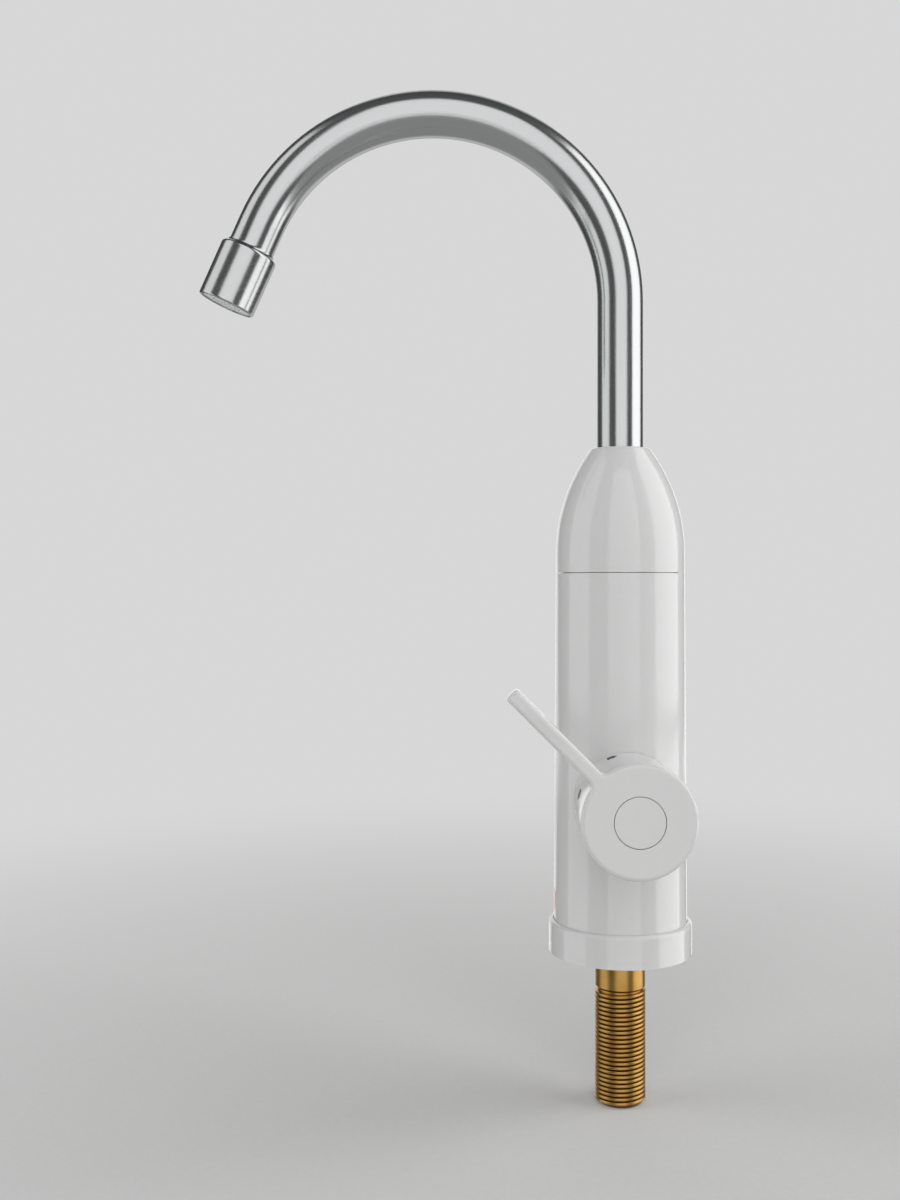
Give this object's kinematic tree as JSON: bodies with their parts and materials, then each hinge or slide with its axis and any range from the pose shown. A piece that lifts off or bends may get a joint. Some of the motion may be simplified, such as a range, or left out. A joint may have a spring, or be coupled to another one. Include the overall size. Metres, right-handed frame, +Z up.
{
  "type": "electric instant water heater tap",
  "caption": "White electric instant water heater tap for a sink deck: tapered body with side lever, steel gooseneck spout, red indicator and threaded brass inlet shank.",
  "frame": {"origin": "on the sink deck's top face, on the axis of the inlet shank and body", "axes": "+Z up along the body's axis; the spout reaches towards -X; the handle points to -Y, which is the user's side"},
  "size_m": [0.204, 0.0943, 0.4191],
  "materials": {
    "white_shell": "white ABS, moulded, high gloss",
    "polished_steel": "stainless steel, polished bright",
    "aerator_plastic": "pale grey acetal, as moulded",
    "red_lens": "clear red acrylic, polished mould",
    "raw_brass": "brass, turned or cast, unplated",
    "sheet_steel": "zinc-plated or stainless sheet, dull",
    "screw_steel": "zinc-plated steel, satin",
    "black_rubber": "black EPDM, moulded, matt",
    "natural_nylon": "glass-filled nylon, natural colour, dull",
    "alumina": "alumina, lapped faces",
    "switch_plastic": "black thermoset, matt",
    "silicone": "translucent silicone, satin",
    "element_steel": "stainless sheath, satin",
    "copper_tube": "copper, drawn, slightly dull",
    "wire_covering": "heat-proof covering: brown, blue, green with yellow, and grey",
    "lamp_red": "red epoxy lamp, smooth"
  },
  "bodies": {
    "heater": {"base_ring": "white_shell", "main_housing": "white_shell", "top_cover": "white_shell", "valve_collar": "white_shell", "indicator_lens": "red_lens", "inlet_shank": "raw_brass", "base_plate": "sheet_steel", "base_seal": "black_rubber", "base_screws": "screw_steel", "shank_o_ring": "black_rubber", "inlet_strainer": "sheet_steel", "valve_body": "raw_brass", "cartridge_housing": "natural_nylon", "cartridge_seal": "black_rubber", "ceramic_disc_fixed": "alumina", "cartridge_nut": "raw_brass", "flow_switch_body": "natural_nylon", "flow_diaphragm": "black_rubber", "flow_switch_cover": "natural_nylon", "flow_switch_screws": "screw_steel", "pusher_spring": "screw_steel", "microswitch": "switch_plastic", "hot_hose": "silicone", "hose_clips": "sheet_steel", "heater_vessel": "natural_nylon", "vessel_o_ring": "black_rubber", "heater_lid": "natural_nylon", "vessel_screws": "screw_steel", "heating_element": "element_steel", "element_bushes": "raw_brass", "element_nuts": "raw_brass", "thermal_cutout": "switch_plastic", "cutout_screws": "screw_steel", "cold_pipe": "copper_tube", "spout_socket": "natural_nylon", "cover_screws": "screw_steel", "spout_nut": "natural_nylon", "wiring_bracket": "sheet_steel", "terminal_block": "natural_nylon", "terminal_screws": "screw_steel", "earth_screw": "screw_steel", "mains_wires": "wire_covering", "heater_wires": "wire_covering", "indicator_lamp": "lamp_red", "indicator_leads": "wire_covering", "cord_gland": "black_rubber"},
    "spout": {"spout_tube": "polished_steel", "spout_sleeve": "natural_nylon", "spout_o_rings": "black_rubber", "aerator_housing": "polished_steel", "aerator_insert": "aerator_plastic", "aerator_washer": "black_rubber"},
    "handle": {"handle": "white_shell", "handle_cap": "white_shell", "handle_screw": "screw_steel", "cartridge_spindle": "raw_brass", "spindle_o_rings": "black_rubber", "ceramic_disc_moving": "alumina"},
    "flow_pusher": {"switch_pusher": "natural_nylon", "switch_button": "switch_plastic"}
  },
  "joints": [
    {"name": "spout_swivel", "type": "hinge", "parent": "heater", "child": "spout", "pos_m": [0, 0, 0.1825], "axis": [0, 0, 1], "continuous": true},
    {"name": "handle_turn", "type": "hinge", "parent": "heater", "child": "handle", "pos_m": [0, -0.0281, 0.0645], "axis": [0, -1, 0], "range_deg": [-45, 45]},
    {"name": "pusher_slide", "type": "slide", "parent": "heater", "child": "flow_pusher", "axis": [0, 0, 1], "range_m": [0, 0.0015], "stiffness_N_per_m": 250, "deforming": ["pusher_spring"]}
  ]
}
